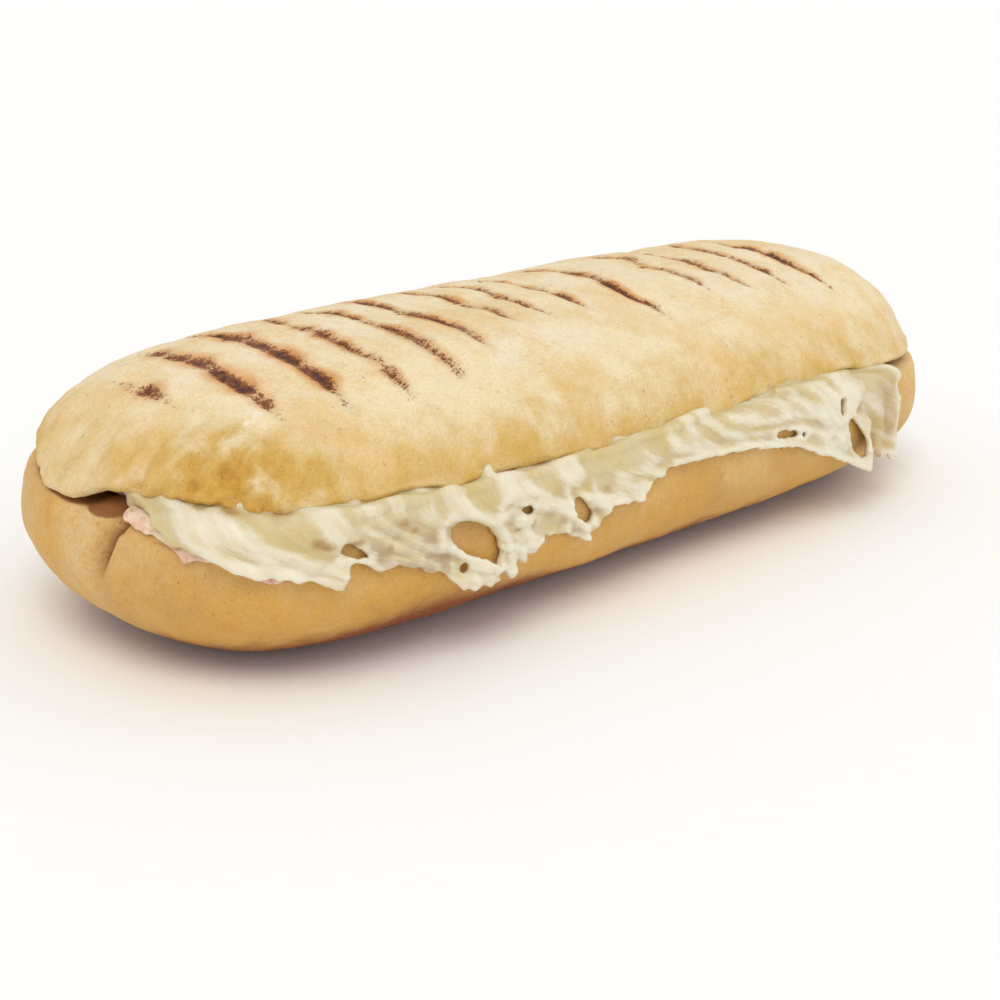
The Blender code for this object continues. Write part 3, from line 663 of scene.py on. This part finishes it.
# the melted cheese in mm: each row of an edge is place round the rim and drop below the lip
melt = {
    "cell": 0.5,
    "voxel": 0.5,
    "fewest": 400,  # loose crumbs with fewer vertices go
    "shallow": -10.5,
    "widest": 6.0,
    "run": (0.92, 0.39),  # which way its streaks run
    "layer": (33.9, 36.3, 8),
    "gap": 0.1,
    "slitThick": 3.5,
    "lipThick": 1.7,
    "hangThick": 1.15,
    "front": (
        (9, -8.5), (11, -5.6), (14, -4.6), (18, -3.2), (21.5, -1.8), (25, -0.2), (29.5, 1.6),
        (36.5, 3.2), (43, 5.6), (50.5, 7), (57.6, 9.2), (59.4, 4.4), (62.5, 6.2), (66, 8.2), (70, 7.4),
        (76, 9.5), (81.5, 12), (85, 14.6), (87.5, 15.6), (93.5, 15.8), (98.5, 16), (101.5, 15.4),
        (104, 13.4), (108, 9.5), (113, 9.8), (118, 12.4), (121, 11.6), (126, 7.2), (131, 7), (135, 8.2),
        (139, 5.8), (144, 4.6), (149, 4.4), (160.5, 4.9), (174, 6.1), (182, 7), (188.5, 8.4),
        (196, 11.2), (202.5, 13.4), (209, 15.6), (212, 17), (216, 19.2), (218, 16.8), (219.5, 15.4),
        (221.4, 18.2), (223, 16.8), (225, 19.6), (227, 18), (229.4, 20.6), (231, 19), (232.8, 21),
        (233.8, 17), (234.6, 9), (235, 0), (236.5, -6), (240, -7),
    ),
    "back": (
        (-252, -7), (-244, -4), (-238, 1.5), (-230, 2.8), (-222, 6.4), (-214, 7), (-206, 3.2),
        (-196, 2.2), (-186, 3.4), (-176, 0.6), (-166, -1.5), (-158, 4.2), (-151, 7), (-144, 5),
        (-137, 0), (-130, 2.2), (-121, 5.4), (-113, 3.2), (-104, -2.2), (-97, 3.6), (-89, 7.2), (-81, 3),
        (-73, -3), (-65, 0.8), (-59, 2.6), (-52, 0), (-44, -5), (-38, -7),
    ),
    # corners of each opening
    "openings": (
        (
            (83.6, 2.7), (85.5, 1.9), (89, 2.5), (92, 4), (94.5, 6.8), (95.5, 9.5), (95.4, 12),
            (92, 9.8), (89, 8.4), (86, 6.8), (83.5, 5),
        ),
        ((91.5, 11), (93.4, 11.7), (93.6, 14.4), (92.4, 13.6)),
        ((96, 12.6), (97.3, 14.8), (96.5, 16), (95.2, 13.8)),
        ((100.3, 12.4), (102.2, 14.2), (102.2, 15.8), (100.4, 14.6)),
        ((85.6, 10), (86.8, 9.8), (86.6, 11.6)),
        ((96.6, 1.3), (99, 2.4), (103, 2.2), (104, 3.1), (101, 3.8), (97.8, 2.6)),
        ((57.6, 2), (58.2, 1.5), (60.8, 2.5), (63.4, 4.1), (61.4, 4), (60, 3.5), (58.4, 3.2)),
        ((114.8, 4.6), (116.6, 3.2), (119.8, 7.2), (119.4, 9), (117, 7.6)),
        ((180.5, 3.8), (184.2, 3.8), (191.5, 5.5), (188, 5.3), (183, 4.5)),
        ((205, 0.3), (206.8, 0.4), (207.4, 3), (206.4, 3.9), (205.2, 2.4)),
        ((209.5, 5.2), (212, 6.4), (214.4, 10.4), (215.8, 15.6), (213.2, 14.2), (211, 9.6)),
        ((-148.6, 2.8), (-150.4, 2.2), (-153.4, 3.2), (-151.4, 4.2)),
    ),
    # brown stains, partly painted shade in pockets under the lip, holes and folds: place, drop, half width,
    # half height, strength
    "stainsAndShade": (
        (52.8, -0.3, 2, 0.9, 0.9), (55, 0.7, 1.9, 0.8, 0.9), (46.6, -2.6, 2.6, 1, 0.9),
        (37.4, -3.4, 1.8, 1.2, 0.9), (60.4, 1.6, 2.8, 0.9, 1), (73.9, 1.5, 1.2, 0.5, 1.3),
        (71, -0.2, 1.4, 0.45, 1.1), (67.9, 3.5, 1.1, 0.6, 1.2), (227, 6, 8, 13, 0.65),
        (214, 3, 3, 6, 0.5), (109, 4.6, 1.6, 1.4, 0.7), (124.6, 2.8, 1.2, 1.4, 0.7),
        (151, 2.6, 3, 0.8, 0.5), (92.6, 14.4, 2.6, 1.8, 0.5), (100, 2.2, 3, 1.2, 0.6),
        (218, 12, 2.4, 5.5, 0.8), (221, 17, 3.4, 2.2, 0.6), (185, 4.4, 5, 0.9, 0.6),
        (-150, -0.5, 2.4, 1, 0.6), (-205, 0, 3, 1, 0.5),
    ),
    # stretched parts: place, drop, half width, half height, number of cells, share that is torn
    "webs": (
        (69, 3.4, 11, 5, 40, 0.05), (90.5, 13, 8.4, 3.4, 34, 0.12), (103, 7, 6, 7, 26, 0.06),
        (118, 7, 12, 5, 40, 0.08), (203, 9, 7, 4, 20, 0.05), (-90, 3.5, 10, 4, 24, 0.1),
        (-150, 3.5, 10, 4, 24, 0.1), (-216, 3.5, 10, 4, 24, 0.1),
    ),
    # radius of each thread in the sheet, and its way
    "threads": (
        (1.5, ((21, -7.5), (25, -4.6), (31, -0.8), (37, 2.2), (43, 4.4))),
        (1.3, ((44, 3.4), (50, 5.4), (57.6, 8.6))),
        (1.1, ((34, -3), (42, -0.4), (50, 2.2))),
        (0.85, ((50, 2.6), (55, 4.4), (58.4, 7.2))),
        (0.4, ((57.4, 2.4), (59.2, 3.3), (59.9, 4.6), (59.2, 6.8), (58.2, 9.8))),
        (0.45, ((57.6, 4.1), (61.4, 4.3), (64.4, 5.4), (66.2, 7.9))),
        (0.7, ((62.6, -0.4), (66.2, 1.6), (70.6, 3.8), (75.4, 6.6))),
        (0.6, ((59.6, -2.2), (65, -1.2), (70.8, 1.6), (77.6, 5.2))),
        (0.55, ((68.4, 5.4), (74, 6.8), (80, 9.4))),
        (1.3, (
            (80.6, 5.4), (80.6, 2.2), (83.2, 0), (89, 0.4),
            (94.6, 3.2), (97.4, 6.6), (98.6, 10.6), (99, 14.8),
        )),
        (1.2, ((94.6, 2.6), (99.4, 1.4), (101.6, 4.2), (103.6, 9.2))),
        (0.6, ((81.4, 4.6), (86.4, 7.9), (91.6, 10.6), (96.4, 13.2))),
        (0.55, ((83.2, 8.6), (83.8, 12), (86.4, 15.4))),
        (0.6, ((88.6, 11), (89, 13.4), (88.4, 15.6))),
        (0.6, ((92.2, 12), (92.8, 14), (92.2, 15.8))),
        (0.65, ((102, 10.4), (102.4, 13), (101.8, 15))),
        (0.9, ((95.4, 0.4), (100, -1.2), (104.6, -0.6), (109, 0.8))),
        (0.9, ((106, 1.4), (112, 4.4), (118.4, 9.2), (119.2, 12.2))),
        (0.8, ((113, 0.4), (114.6, 4.4), (113.4, 9.4))),
        (0.8, ((120.6, 1.2), (122, 5.4), (128, 6.4), (134.6, 7.6))),
        (1.0, (
            (146, 3.2), (160, 3.8), (174, 4.9), (188, 7.4),
            (197, 10.2), (204, 12.8), (212, 16.2), (216, 19),
        )),
        (0.7, ((156.5, -2.6), (163, 0.2), (170, 2.2), (178, 2.8), (190, 3.4))),
        (0.8, ((166, -1.6), (176, 0.2), (188, 0.6), (198, 2.4))),
        (0.9, ((189, -1.4), (197, 2.4), (204, 8), (209, 12.4))),
        (0.8, ((196, -2), (201, 2.6), (205.6, 7.4), (207.4, 11.8))),
        (0.7, ((188, 3.2), (196, 6), (203, 9.4))),
        (0.8, ((207.4, -2.4), (207.2, 3.4), (208.6, 9.4))),
        (0.6, ((214.8, -2), (215, 6), (215.4, 16.4))),
        (0.7, ((232.6, -2.6), (233, 8), (232, 19.4))),
        (0.9, ((-83, 1), (-89, 6.4), (-94, 4.6))),
        (0.9, ((-145, 1), (-151, 6.2), (-157, 3.2))),
        (0.9, ((-208, 1), (-214, 6.2), (-221, 5.4))),
    ),
    # strings: place, drop, stand-off and radius at each point
    "strings": (
        (
            (96.4, 2.4, 0.5, 1.9), (94.6, -0.6, 0.5, 1.8), (93.6, -3, 0.3, 1.5), (92.4, -5, 0, 1.2),
            (91.6, -6.8, -0.5, 0.8),
        ),
        (
            (36, -1.6, 0.1, 1.2), (41, -3.2, 0.3, 1.4), (48, -3.2, 0.4, 1.6), (55, -3.8, 0.3, 1.5),
            (62, -3.4, 0.5, 1.7), (69, -4, 0.3, 1.5), (77, -3.5, 0.4, 1.5), (84, -4.2, 0.2, 1.3),
        ),
        (
            (80, -3.6, 0.1, 1.2), (88, -3.4, 0.3, 1.5), (97, -3.8, 0.3, 1.6), (105, -3.3, 0.4, 1.5),
            (113, -3.9, 0.2, 1.3), (121, -4.4, 0, 0.9),
        ),
        (
            (118, -3.8, 0, 1), (127, -3.4, 0.3, 1.4), (136, -4, 0.2, 1.3), (145, -3.6, 0.4, 1.5),
            (154, -4.2, 0.3, 1.6), (162, -4.6, 0, 1),
        ),
        (
            (186, -4.6, 0, 1), (194, -4, 0.3, 1.5), (201, -3.6, 0.5, 1.8), (208, -4.4, 0.3, 1.6),
            (216, -4.6, 0.1, 1.2),
        ),
        ((90, 0.4, 0.5, 1.5), (89.6, -2, 0.5, 1.1), (88.2, -3.8, 0.2, 0.5)),
        ((85.4, 0.8, 0.6, 1.6), (84.2, -1.4, 0.6, 1.4), (85, -3.2, 0.4, 0.9), (86.4, -4.6, 0.1, 0.4)),
        ((81, 1.4, 0.5, 1.8), (79.4, -1.2, 0.4, 1.6), (77, -2.8, 0.2, 1.2), (74.4, -3.6, 0, 0.6)),
        ((96.4, 0.6, 0.8, 1.4), (98.4, -1.6, 0.8, 1.4), (102.2, -2, 0.8, 1.5), (106, -0.4, 0.6, 1.2)),
        ((66.6, -0.4, 0.5, 1.4), (69.2, -2.4, 0.5, 1.4), (72, -4.6, 0.2, 1)),
        ((150.6, 1.6, 0.8, 1.6), (150.2, -0.8, 0.8, 1.4), (151.4, -3.4, 0.5, 1), (152.6, -5.2, 0.1, 0.5)),
        ((157.6, 2, 0.8, 1.3), (156.2, -0.2, 0.9, 1.2), (157.4, -2.8, 0.5, 0.7)),
        ((168, 1.8, 0.8, 1.4), (174, 0.4, 0.9, 1.5), (181, -1.8, 0.6, 1.5), (187, -1.2, 0.4, 1.2)),
        ((208, -0.8, 0.8, 1.3), (212, -2.8, 0.6, 1.5), (217, -3.4, 0.2, 1)),
    ),
}


def meltSheet(place, drop, edge):
    fine, coarse = flatNoise(place, drop, 1.6, 2, 500), flatNoise(place, drop, 6, 2, 530)
    hanging = ramp(-1, 5, drop)
    cover = np.interp(place, *np.array(edge).T) - drop + 0.45 * fine + 0.5 * coarse * hanging
    thin = 0.25 + 0.9 * coarse + 0.6 * hump(place, 70, 10) - 0.8 * hump(place, 226, 14)
    thin = hanging * np.clip(thin, 0, 1)
    ridge = np.zeros(len(place))
    for middle, low, halfWidth, halfHeight, cells, torn in melt["webs"]:
        across, down = (place - middle) / halfWidth, (drop - low) / halfHeight
        inside = np.clip(2.2 - 2.2 * np.maximum(np.abs(across), np.abs(down)), 0, 1)
        near = inside > 0
        seeded = np.random.default_rng(int(abs(middle) * 10))
        seeds = seeded.uniform(-1.1, 1.1, (cells, 2)) * (halfWidth, halfHeight)
        tornCells = seeded.uniform(size=cells) < torn
        slanted = across[near] * halfWidth + 0.5 * down[near] * halfHeight + 0.7 * coarse[near]
        tall = down[near] * halfHeight + 0.6 * fine[near]
        apart = np.hypot((slanted[:, None] - seeds[:, 0]) * 0.75, (tall[:, None] - seeds[:, 1]) * 1.35)
        order = np.argsort(apart, axis=1)[:, :2]
        first, second = np.take_along_axis(apart, order, 1).T
        toEdge = (second - first) / 2
        hole = np.where(tornCells[order[:, 0]], (0.8 - toEdge) * 1.6 + 2 * (1 - inside[near]), 9)
        cover[near] = np.minimum(cover[near], hole)
        thin[near] = np.maximum(thin[near], inside[near] * ramp(0.25, 0.9, toEdge))
        ridge[near] = np.maximum(ridge[near], inside[near] * 0.5 * hump(toEdge, 0, 0.4))
    for corners in melt["openings"]:
        away = nearPath(place, drop, (*corners, corners[0]))
        away *= np.where(insideCorners(place, drop, corners), -1, 1)
        cover = np.minimum(cover, away + 0.2 * fine + 0.15 * coarse)
    run, fall = melt["run"]
    streaks = flatNoise((run * place + fall * drop) / 8, (run * drop - fall * place) / 1.5, 1, 2, 570)
    streak = ramp(-0.2, 0.7, streaks)
    membrane = hump(place, 69, 8.5) * ramp(-2.5, 0.5, drop)
    film = ramp(125, 160, place)
    streak *= 1 - 0.85 * membrane
    thin = np.maximum(thin, 0.85 * membrane)
    bead = hump(cover, 0.8, 0.7) * hanging
    thick = melt["slitThick"] + (melt["lipThick"] - melt["slitThick"]) * ramp(-6.5, -2.4, drop)
    thick += (melt["hangThick"] - melt["lipThick"]) * ramp(-2.4, 3, drop)
    thick = thick * (1 - 0.45 * thin) + 0.35 * bead + 0.7 * ridge + 0.3 * coarse * hanging
    thick += 0.65 * streak * (1 - 0.55 * film)
    # whiter cheese on beads, streaks, ridges and the bunch at the right, partly painted highlights
    whiteAndHighlight = 0.4 * bead + 0.75 * streak + 0.8 * hump(place, 205, 8) * ramp(-3, 2, drop)
    # brown stains, partly painted shade in pockets and folds
    stainAndShade = np.zeros(len(place))
    for middle, low, halfWidth, halfHeight, strength in melt["stainsAndShade"]:
        across, down = (place - middle + 0.8 * fine) / halfWidth, (drop - low + 0.5 * coarse) / halfHeight
        stainAndShade += strength * hump(np.hypot(across, down), 0, 1)
    for radius, path in melt["threads"]:
        away = nearPath(place, drop + 0.3 * coarse, path) / radius
        cover = np.maximum(cover, (1 - away) * radius)
        soft = hump(away, 0, 0.9)
        thick = thick + 0.62 * radius * soft * (1 - 0.3 * film)
        # the middle of each thread is lighter, as a painted highlight
        whiteAndHighlight = np.maximum(whiteAndHighlight, hump(away, 0, 0.7) * (1 - 0.6 * membrane))
        thin = thin * (1 - hump(away, 0, 0.7))
    fields = {"thin": thin, "whiteAndHighlight": np.clip(whiteAndHighlight + 0.5 * ridge, 0, 1), "stainAndShade": np.clip(stainAndShade, 0, 1.2)}
    return cover, np.maximum(thick, 0.8), fields


# a flat grid, with each vertex's share of the way along and down
def flatSheet(columns, rows):
    sheet = bmesh.new()
    bmesh.ops.create_grid(sheet, x_segments=columns, y_segments=rows, size=1)
    flat = np.array([vert.co[:2] for vert in sheet.verts])
    return sheet, (flat[:, 0] + 1) / 2, (flat[:, 1] + 1) / 2


# how far the bottom half's lumps push a sheet out
def lumpRest(place, drop):
    base = sheetSpot(place, drop, np.zeros(len(place)))
    return bottomLumps(base) * ramp(-2.5, 1, drop)


def meltPiece(name, low, high, edge, deepest, strings):
    cell, shallow, widest = melt["cell"], melt["shallow"], melt["widest"]
    columns, rows = int((high - low) / cell), int((deepest - shallow) / cell)
    sheet, right, down = flatSheet(columns, rows)
    place = low + right * (high - low)
    drop = shallow + down * (deepest - shallow)
    cover, thick, fields = meltSheet(place, drop, edge)
    lift = ramp(3, 11, drop) * (0.5 + 0.9 * flatNoise(place, drop, 9, 2, 560))
    wave = np.sin(place / 1.1 + 0.07 * drop) + 0.8 * flatNoise(place / 1.6, drop / 9, 1, 2, 580)
    lift += 0.75 * ramp(-1, 9, drop) * (1 + wave) * ramp(208, 214, place)
    off = melt["gap"] + thick / 2 + np.maximum(lift, 0) + lumpRest(place, drop) + hamUnder(place, drop)
    spots = sheetSpot(place, drop, off)
    layer = sheet.verts.layers.deform.verify()
    spare = []
    shares = (thick / widest).tolist()
    for vert, spot, share, inside in zip(sheet.verts, spots.tolist(), shares, cover.tolist()):
        vert.co = spot
        vert[layer][0] = min(share, 1)
        if inside < 0:
            spare.append(vert)
    kept = np.flatnonzero(cover >= -0.4)
    lookup = kdtree.KDTree(len(kept))
    for number in kept:
        lookup.insert(spots[number], int(number))
    lookup.balance()
    bmesh.ops.delete(sheet, geom=spare, context="VERTS")
    edges = [vert for vert in sheet.verts if vert.is_boundary]
    axes = {"use_axis_x": True, "use_axis_y": True, "use_axis_z": True}
    for step in range(3):
        bmesh.ops.smooth_vert(sheet, verts=edges, factor=0.5, **axes)
    bmesh.ops.scale(sheet, vec=(mm, mm, mm), verts=sheet.verts)
    raw = addObject(name + "Raw", finishMesh(name, sheet))
    raw.vertex_groups.new(name="thickness")
    solid = raw.modifiers.new("wall", "SOLIDIFY")
    solid.thickness = widest * mm
    solid.offset = 0
    solid.vertex_group = "thickness"
    parts = [bakedMesh(raw)]
    for string in strings:
        parts.append(stringMesh(string))
    joined = bmesh.new()
    for part in parts:
        joined.from_mesh(part)
    whole = addObject(name + "Whole", finishMesh(name, joined))
    remesh = whole.modifiers.new("fuse", "REMESH")
    remesh.mode = "VOXEL"
    remesh.voxel_size = melt["voxel"] * mm
    smooth = whole.modifiers.new("soften", "SMOOTH")
    smooth.factor = 0.5
    smooth.iterations = 4
    mesh = bakedMesh(whole)
    mesh.name = name
    dropCrumbs(mesh, melt["fewest"])
    points = readVertices(mesh)
    nearest = np.array([[found[1] for found in lookup.find_n(point, 7)] for point in points])
    flow = np.stack([place, drop], 1)[nearest].mean(1)
    run, fall = melt["run"]
    along, across = flow @ (run, fall), flow @ (-fall, run)
    fibres = flatNoise(along / 7, across / 1.3, 1, 2, 600)
    ripple = 0.2 * fibres * ramp(-4, 1, flow[:, 1]) + 0.12 * noiseAt(points, 4, 1, 620)
    writeVertices(mesh, points + readNormals(mesh) * ripple[:, None])
    for key, values in fields.items():
        addField(mesh, key, values[nearest].mean(1))
    addField(mesh, "along", along)
    addField(mesh, "across", across)
    piece = addPiece(name, mesh, cheeseMaterial())
    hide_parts("cheese")


# a copy of the object's mesh with its modifiers applied; the object itself goes
def bakedMesh(item):
    view = bpy.context.evaluated_depsgraph_get()
    mesh = bpy.data.meshes.new_from_object(item.evaluated_get(view))
    mesh.materials.clear()
    bpy.data.objects.remove(item)
    return mesh


# loose crumbs of the mesh with fewer vertices than this go
def dropCrumbs(mesh, fewest):
    shell = bmesh.new()
    shell.from_mesh(mesh)
    left = set(shell.verts)
    crumbs = []
    for first in shell.verts:
        if first not in left:
            continue
        left.remove(first)
        island, queue = [first], [first]
        while queue:
            vert = queue.pop()
            for edge in vert.link_edges:
                other = edge.other_vert(vert)
                if other in left:
                    left.remove(other)
                    island.append(other)
                    queue.append(other)
        if len(island) < fewest:
            crumbs += island
    bmesh.ops.delete(shell, geom=crumbs, context="VERTS")
    shell.to_mesh(mesh)
    shell.free()


def stringMesh(string):
    rows = np.array(string, dtype=float)
    spots = wallSpot(rows[:, 0], rows[:, 1], rows[:, 2])
    data = bpy.data.curves.new("string", "CURVE")
    data.dimensions = "3D"
    data.bevel_depth = mm
    data.bevel_resolution = 3
    data.use_fill_caps = True
    data.resolution_u = 8
    spline = data.splines.new("BEZIER")
    spline.bezier_points.add(len(rows) - 1)
    for point, spot, radius in zip(spline.bezier_points, spots, rows[:, 3]):
        point.co = spot * mm
        point.radius = radius
        point.handle_left_type = point.handle_right_type = "AUTO"
    return bakedMesh(addObject("string", data))


cheeseLooks = {
    "milk": tint(209, 192, 148),
    # white cheese colour, partly painted highlight
    "whiteAndHighlight": tint(236, 230, 209),
    "thin": tint(184, 157, 120),
    "butter": tint(207, 184, 124),
    # brown stain colour, partly painted shade
    "stainAndShade": tint(172, 126, 66),
}


def cheeseMaterial():
    if "meltedCheese" in bpy.data.materials:
        return bpy.data.materials["meltedCheese"]
    material, tree, shader = newMaterial("meltedCheese")
    where = millimetres(tree)
    broad = grain(tree, where, 7, 3)
    fine = grain(tree, where, 1.3, 3, 0.6)
    along = times(tree, field(tree, "along"), 0.16)
    across = times(tree, field(tree, "across"), 1.15)
    flow = addNode(tree, "ShaderNodeCombineXYZ", {0: along, 1: across}).outputs[0]
    fibre = grain(tree, flow, 1, 4, 0.6, 0.5)
    colour = blend(tree, between(tree, broad, 0.38, 0.64, 0, 0.8), cheeseLooks["milk"], cheeseLooks["butter"])
    thin = plus(tree, field(tree, "thin"), swing(tree, fibre, 0.9))
    colour = layOver(tree, colour, thin, 0.1, 0.95, 0.9, cheeseLooks["thin"])
    # white colour, partly painted highlights along streaks and threads
    whiteAndHighlight = plus(tree, field(tree, "whiteAndHighlight"), swing(tree, fibre, 1.3))
    colour = layOver(tree, colour, whiteAndHighlight, -0.05, 1.1, 0.9, cheeseLooks["whiteAndHighlight"])
    # brown stains, partly painted shade in pockets and folds
    stainAndShade = plus(tree, field(tree, "stainAndShade"), swing(tree, fibre, 0.6))
    colour = layOver(tree, colour, stainAndShade, 0.2, 1.0, 0.9, cheeseLooks["stainAndShade"])
    tree.links.new(colour, shader.inputs["Base Color"])
    shader.inputs["Roughness"].default_value = 0.38
    shader.inputs["Specular IOR Level"].default_value = 0.45
    shader.inputs["Subsurface Weight"].default_value = 0.45
    shader.inputs["Subsurface Radius"].default_value = (1.0, 0.75, 0.4)
    shader.inputs["Subsurface Scale"].default_value = 1.8 * mm
    addBump(tree, shader, 0.7, 0.45, plus(tree, fibre, times(tree, fine, 0.4)))
    return material


# a layer of filling between two heights, rounded at its rim
def layerSection(low, high, setback):
    radius = (high - low) / 2
    flat = domeRho(loaf["slitFloor"] - loaf["lipRadius"]) - (setback + radius) / loaf["halfWidth"]
    bend = np.linspace(0, math.pi, 24)
    return spreadSection([
        (np.linspace(0, flat, 30), np.full(30, high), 0.4),
        (flat + radius / loaf["halfWidth"] * np.sin(bend), low + radius * (1 + np.cos(bend)), 0.2),
        (np.linspace(flat, 0, 30), np.full(30, low), 0.4),
    ])


def buildCheese():
    meltPiece("cheeseFront", 8, 244, melt["front"], 24, melt["strings"])
    meltPiece("cheeseBack", -254, -36, melt["back"], 12, [])
    mesh, turn, rho = wrapBall("cheeseLayer", layerSection(*melt["layer"]))
    points = readVertices(mesh)
    ragged = 1.2 * noiseAt(points, 9, 2, 640) * ramp(0.7, 0.85, rho)
    points[:, :2] *= (1 + ragged / 45)[:, None]
    writeVertices(mesh, points)
    for key in ("thin", "whiteAndHighlight", "stainAndShade"):
        addField(mesh, key, 0 * turn)
    addField(mesh, "along", rimPlace(turn))
    addField(mesh, "across", 40 * rho)
    piece = addPiece("cheeseLayer", mesh, cheeseMaterial())
    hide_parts("cheese")


# the ham slice: a layer on the bottom half, with flaps that come out under the cheese
ham = {
    "thick": 1.0,
    "layer": (32.5, 33.7, 7),
    # middle, half width and hang below the lip
    "flaps": ((38, 22.5, 8.4), (205, 12, 6), (-136, 24, 2.6)),
    "hidden": -8.0,
    "root": -6.0,
    "corner": (8, 60),  # where it just looks out under the cheese
    "colour": tint(223, 182, 154),
    "pale": tint(233, 211, 184),
    "dark": tint(184, 92, 72),
}


def hamEdge(place):
    edge = np.full(place.shape, ham["hidden"])
    root = ham["root"]
    cheese = np.interp(place, *np.array(melt["front"]).T)
    for middle, half, hang in ham["flaps"]:
        reach = np.clip(1 - ((place - middle) / half) ** 2, 0, 1) ** 0.5
        edge = np.maximum(edge, root + (hang - root) * reach)
    first, last = ham["corner"]
    atCorner = (place > first) & (place < last)
    return np.where(atCorner, np.minimum(edge, np.maximum(cheese + 1.5, root)), edge)


def hamUnder(place, drop):
    return ham["thick"] * ramp(-0.6, 0.6, hamEdge(place) - drop)


def hamMaterial():
    material, tree, shader = newMaterial("hamSlice")
    where = millimetres(tree)
    broad = grain(tree, where, 5, 4, 0.6)
    fine = grain(tree, where, 0.9, 3)
    spots = grain(tree, where, 1.8, 3, 0.6)
    colour = blend(tree, between(tree, broad, 0.4, 0.62), ham["colour"], ham["pale"])
    colour = layOver(tree, colour, spots, 0.52, 0.7, 0.5, ham["dark"])
    tree.links.new(colour, shader.inputs["Base Color"])
    shader.inputs["Roughness"].default_value = 0.4
    shader.inputs["Subsurface Weight"].default_value = 0.35
    shader.inputs["Subsurface Radius"].default_value = (1.0, 0.4, 0.25)
    shader.inputs["Subsurface Scale"].default_value = 1.2 * mm
    addBump(tree, shader, 0.4, 0.2, fine)
    return material


def buildHam():
    material = hamMaterial()
    mesh = wrapBall("hamLayer", layerSection(*ham["layer"]))[0]
    points = readVertices(mesh)
    points[:, 2] += 0.12 * noiseAt(points, 8, 2, 660)
    writeVertices(mesh, points)
    piece = addPiece("hamLayer", mesh, material)
    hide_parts("ham")
    for number, (middle, half, hang) in enumerate(ham["flaps"]):
        low, high = middle - half, middle + half
        flap, right, down = flatSheet(int(2 * half / 0.7), 26)
        place = low + right * (high - low)
        ends = flatNoise(place, 0 * place, 2.2, 3, 700 + number)
        edge = np.maximum(hamEdge(place) + 1.1 * ends - 0.2, -7.5)
        drop = -9 + down * (edge + 9)
        spots = sheetSpot(place, drop, 0.1 + ham["thick"] / 2 + lumpRest(place, drop))
        for vert, spot in zip(flap.verts, spots.tolist()):
            vert.co = spot
        bmesh.ops.scale(flap, vec=(mm, mm, mm), verts=flap.verts)
        piece = addPiece(f"hamFlap{number + 1}", finishMesh("hamFlap", flap), material)
        solid = piece.modifiers.new("slice", "SOLIDIFY")
        solid.thickness = ham["thick"] * mm
        solid.offset = 0
        soft = piece.modifiers.new("roundEdge", "SUBSURF")
        soft.levels = soft.render_levels = 1
        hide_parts("ham")


buildBreadTop()
print("top half made")
buildBreadBottom()
print("bottom half made")
buildHam()
print("ham made")
buildCheese()
print("cheese made")


# camera, fitted to the outline: place in metres, angles in degrees, focal length for the frame
viewpoint = {
    "place": (-0.29419, -0.29090, 0.15505),
    "azimuth": -44.759,
    "elevation": 19.859,
    "roll": 2.164,
    "lens": 68.4,
    "sensor": 36.0,
}


def buildCamera():
    azimuth, elevation, roll = (math.radians(viewpoint[key]) for key in ("azimuth", "elevation", "roll"))
    back = Vector((
        math.sin(azimuth) * math.cos(elevation),
        -math.cos(azimuth) * math.cos(elevation),
        math.sin(elevation),
    ))
    right = Vector((math.cos(azimuth), math.sin(azimuth), 0))
    up = back.cross(right)
    tiltedRight = right * math.cos(roll) + up * math.sin(roll)
    tiltedUp = up * math.cos(roll) - right * math.sin(roll)
    data = bpy.data.cameras.new("camera")
    data.lens = viewpoint["lens"]
    data.sensor_width = viewpoint["sensor"]
    data.clip_start = 0.01
    camera = addObject("camera", data)
    turned = Matrix((tiltedRight, tiltedUp, back)).transposed()
    camera.matrix_world = Matrix.Translation(viewpoint["place"]) @ turned.to_4x4()
    bpy.context.scene.camera = camera


studio = {
    "world": 0.75,
    "horizon": 0.98,  # the world as the camera sees it
    "aim": (0, 0, 0.03),
    "floorSize": 40,
    "floor": tint(250, 250, 249),
    "lights": (
        ("keyLight", (-0.35, -0.3, 0.75), 35, 1.0, (1.0, 0.99, 0.96)),
        ("sideLight", (0.7, -0.55, 0.45), 60, 0.25, (1.0, 0.99, 0.97)),
    ),
}


def buildStudio():
    scene = bpy.context.scene
    scene.view_settings.view_transform = "Standard"
    world = bpy.data.worlds.new("studio")
    world.use_nodes = True
    tree = world.node_tree
    background = tree.nodes["Background"]
    background.inputs[0].default_value = (1, 1, 1, 1)
    seen = addNode(tree, "ShaderNodeLightPath", {}).outputs["Is Camera Ray"]
    inputs = {"Value": seen, "To Min": studio["world"], "To Max": studio["horizon"]}
    power = addNode(tree, "ShaderNodeMapRange", inputs).outputs[0]
    tree.links.new(power, background.inputs[1])
    scene.world = world
    for name, place, spread, power, colour in studio["lights"]:
        data = bpy.data.lights.new(name, "SUN")
        data.angle = math.radians(spread)
        data.energy = power
        data.color = colour
        light = addObject(name, data)
        aim = Vector(studio["aim"]) - Vector(place)
        light.matrix_world = Matrix.Translation(place) @ aim.to_track_quat("-Z", "Y").to_matrix().to_4x4()
    plane = bmesh.new()
    bmesh.ops.create_grid(plane, x_segments=1, y_segments=1, size=studio["floorSize"])
    mesh = finishMesh("floor", plane)
    floor = addObject("floor", mesh)
    material, tree, shader = newMaterial("paleFloor")
    shader.inputs["Base Color"].default_value = studio["floor"]
    shader.inputs["Roughness"].default_value = 0.9
    mesh.materials.append(material)


buildCamera()
buildStudio()
print("camera and studio made")
